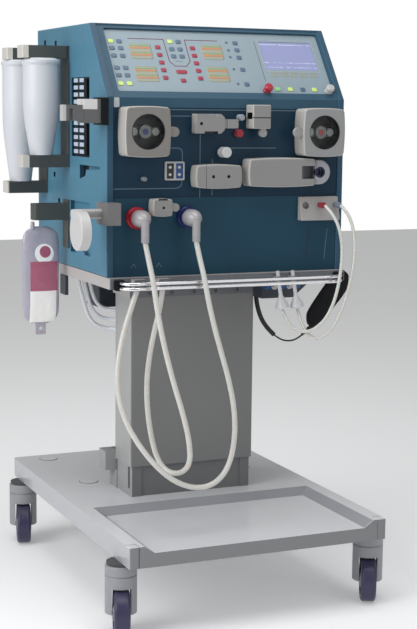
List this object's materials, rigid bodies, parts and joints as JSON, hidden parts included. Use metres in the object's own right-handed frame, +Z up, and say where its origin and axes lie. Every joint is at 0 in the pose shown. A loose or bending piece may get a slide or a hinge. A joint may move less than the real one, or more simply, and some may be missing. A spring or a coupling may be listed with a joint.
{
  "type": "dialysis machine",
  "caption": "Bedside blood treatment machine: sloping control console and clip-on pump modules on a blue housing, carried by a column on a wheeled tray base, with side holders and hanging lines",
  "frame": {"origin": "on the floor under the middle of the wheeled base; holders and cuff reach equally far", "axes": "+Z up, -Y the front, +X the machine's right seen from the front"},
  "size_m": [0.8035, 0.8766, 1.3103],
  "materials": {
    "base_shell": "textured light grey coating",
    "caster_grey": "moulded grey",
    "wheel_tyre": "dark tread on a moulded core",
    "frame_steel": "black coated tube",
    "column_paint": "dark grey coating, lighter sides",
    "foot_paint": "dark grey coating",
    "plate_moulding": "light grey moulding",
    "dark_moulding": "dark moulding with pale ports",
    "rail_chrome": "bright plated rod",
    "blue_cover": "blue textured coating",
    "front_blue": "dark blue coating with printed pale lines",
    "console_blue": "blue moulded frame",
    "panel_foil": "pale foil with embossed keys",
    "display": "pale violet screen",
    "red_plastic": "red moulding",
    "module_grey": "warm grey moulding",
    "clear_window": "clear moulding",
    "rotor": "dark rotor with pale rollers",
    "fitting_plastic": "small coloured mouldings",
    "holder_dark": "dark grey coating with pale end caps",
    "cartridge_white": "white moulding",
    "bag_film": "clear film round white powder",
    "black_plastic": "black moulding",
    "fitting_white": "translucent and coloured fittings",
    "cuff_fabric": "black woven nylon",
    "hose_silicone": "translucent silicone",
    "black_rubber": "smooth black"
  },
  "bodies": {
    "base": {"base_tray": "base_shell", "caster_caps": "caster_grey", "steel_frame": "frame_steel", "column_sleeve": "column_paint", "column_foot_cover": "foot_paint", "support_plate": "plate_moulding", "service_ports": "dark_moulding", "chrome_rail": "rail_chrome", "left_side_cover": "blue_cover", "right_side_cover": "blue_cover", "rear_hood": "blue_cover", "front_panel": "front_blue", "console_bezel": "console_blue", "control_panel": "panel_foil", "display_glass": "display", "air_detector_body": "module_grey", "venous_clamp_body": "module_grey", "sensor_block": "module_grey", "line_clamp_body": "module_grey", "syringe_pump_housing": "module_grey", "concentrate_inlet": "module_grey", "front_fittings": "fitting_plastic", "holder_rails": "holder_dark", "cartridges": "cartridge_white", "dialysate_bag": "bag_film", "mount_brackets": "black_plastic", "line_fittings": "fitting_white", "pressure_cuff": "cuff_fabric", "hose_red": "hose_silicone", "hose_blue": "hose_silicone", "tube_red": "hose_silicone", "tube_black": "hose_silicone", "drain_lines": "hose_silicone", "cuff_line": "black_rubber", "left_pump_housing": "module_grey", "right_pump_housing": "module_grey"},
    "front_left_fork_body": {"front_left_fork": "caster_grey"},
    "front_left_wheel_body": {"front_left_wheel": "wheel_tyre"},
    "front_right_fork_body": {"front_right_fork": "caster_grey"},
    "front_right_wheel_body": {"front_right_wheel": "wheel_tyre"},
    "rear_left_fork_body": {"rear_left_fork": "caster_grey"},
    "rear_left_wheel_body": {"rear_left_wheel": "wheel_tyre"},
    "rear_right_fork_body": {"rear_right_fork": "caster_grey"},
    "rear_right_wheel_body": {"rear_right_wheel": "wheel_tyre"},
    "left_door_body": {"left_pump_door": "module_grey", "left_pump_window": "clear_window"},
    "left_rotor_body": {"left_pump_rotor": "rotor"},
    "right_door_body": {"right_pump_door": "module_grey", "right_pump_window": "clear_window"},
    "right_rotor_body": {"right_pump_rotor": "rotor"},
    "detector_lid_body": {"air_detector_lid": "module_grey"},
    "clamp_tongue_body": {"venous_clamp_tongue": "module_grey"},
    "carriage_body": {"syringe_pump_carriage": "module_grey"},
    "clamp_lever_body": {"line_clamp_lever": "module_grey"},
    "red_knob_body": {"red_knob": "red_plastic"},
    "grey_knob_body": {"grey_knob": "module_grey"},
    "front_arm_body": {"front_holder_arm": "holder_dark"},
    "rear_arm_body": {"rear_holder_arm": "holder_dark"},
    "upper_clamp_body": {"upper_clamp_arm": "module_grey"},
    "lower_clamp_body": {"lower_clamp_arm": "module_grey"}
  },
  "joints": [
    {"name": "front_left_swivel", "type": "hinge", "parent": "base", "child": "front_left_fork_body", "pos_m": [-0.305, -0.368, 0.131], "axis": [0, 0, 1], "continuous": true},
    {"name": "front_left_roll", "type": "hinge", "parent": "front_left_fork_body", "child": "front_left_wheel_body", "pos_m": [-0.31085, -0.38713, 0.05], "axis": [0.9563, -0.2924, 0], "continuous": true},
    {"name": "front_right_swivel", "type": "hinge", "parent": "base", "child": "front_right_fork_body", "pos_m": [0.305, -0.368, 0.131], "axis": [0, 0, 1], "continuous": true},
    {"name": "front_right_roll", "type": "hinge", "parent": "front_right_fork_body", "child": "front_right_wheel_body", "pos_m": [0.29623, -0.38598, 0.05], "axis": [0.8988, -0.4384, 0], "continuous": true},
    {"name": "rear_left_swivel", "type": "hinge", "parent": "base", "child": "rear_left_fork_body", "pos_m": [-0.305, 0.372, 0.131], "axis": [0, 0, 1], "continuous": true},
    {"name": "rear_left_roll", "type": "hinge", "parent": "rear_left_fork_body", "child": "rear_left_wheel_body", "pos_m": [-0.30984, 0.35259, 0.05], "axis": [0.9703, -0.2419, 0], "continuous": true},
    {"name": "rear_right_swivel", "type": "hinge", "parent": "base", "child": "rear_right_fork_body", "pos_m": [0.305, 0.372, 0.131], "axis": [0, 0, 1], "continuous": true},
    {"name": "rear_right_roll", "type": "hinge", "parent": "rear_right_fork_body", "child": "rear_right_wheel_body", "pos_m": [0.29751, 0.35346, 0.05], "axis": [0.9272, -0.3746, 0], "continuous": true},
    {"name": "left_door", "type": "hinge", "parent": "base", "child": "left_door_body", "pos_m": [-0.264, -0.2524, 1.074], "axis": [0, 0, 1], "range_deg": [-105, 0]},
    {"name": "right_door", "type": "hinge", "parent": "base", "child": "right_door_body", "pos_m": [0.27, -0.2524, 1.074], "axis": [0, 0, 1], "range_deg": [0, 115]},
    {"name": "left_rotor_turn", "type": "hinge", "parent": "base", "child": "left_rotor_body", "pos_m": [-0.211, -0.244, 1.074], "axis": [0, 1, 0], "continuous": true},
    {"name": "right_rotor_turn", "type": "hinge", "parent": "base", "child": "right_rotor_body", "pos_m": [0.217, -0.244, 1.074], "axis": [0, 1, 0], "continuous": true},
    {"name": "detector_lid", "type": "hinge", "parent": "base", "child": "detector_lid_body", "pos_m": [-0.0905, -0.2464, 1.092], "axis": [0, 0, 1], "range_deg": [-100, 0]},
    {"name": "clamp_tongue", "type": "slide", "parent": "base", "child": "clamp_tongue_body", "axis": [0, 0, -1], "range_m": [0, 0.006]},
    {"name": "syringe_carriage", "type": "slide", "parent": "base", "child": "carriage_body", "axis": [1, 0, 0], "range_m": [0, 0.06]},
    {"name": "line_clamp_lever", "type": "hinge", "parent": "base", "child": "clamp_lever_body", "pos_m": [-0.192, -0.2484, 0.909], "axis": [0, 0, 1], "range_deg": [-65, 0]},
    {"name": "red_knob_turn", "type": "hinge", "parent": "base", "child": "red_knob_body", "pos_m": [0.101, -0.21266, 1.16534], "axis": [0, -0.809, 0.5878], "range_deg": [-150, 150]},
    {"name": "grey_knob_turn", "type": "hinge", "parent": "base", "child": "grey_knob_body", "pos_m": [0.258, -0.21266, 1.16534], "axis": [0, -0.809, 0.5878], "range_deg": [-150, 150]},
    {"name": "front_arm_lift", "type": "hinge", "parent": "base", "child": "front_arm_body", "pos_m": [-0.294, 0.042, 1.264], "axis": [0, 1, 0], "range_deg": [0, 80]},
    {"name": "rear_arm_lift", "type": "hinge", "parent": "base", "child": "rear_arm_body", "pos_m": [-0.294, 0.212, 1.264], "axis": [0, 1, 0], "range_deg": [0, 80]},
    {"name": "upper_clamp_swing", "type": "hinge", "parent": "base", "child": "upper_clamp_body", "pos_m": [-0.3053, -0.217, 1.117], "axis": [1, 0, 0], "range_deg": [-90, 90]},
    {"name": "lower_clamp_swing", "type": "hinge", "parent": "base", "child": "lower_clamp_body", "pos_m": [-0.3053, -0.24, 0.897], "axis": [1, 0, 0], "range_deg": [-60, 60]}
  ]
}
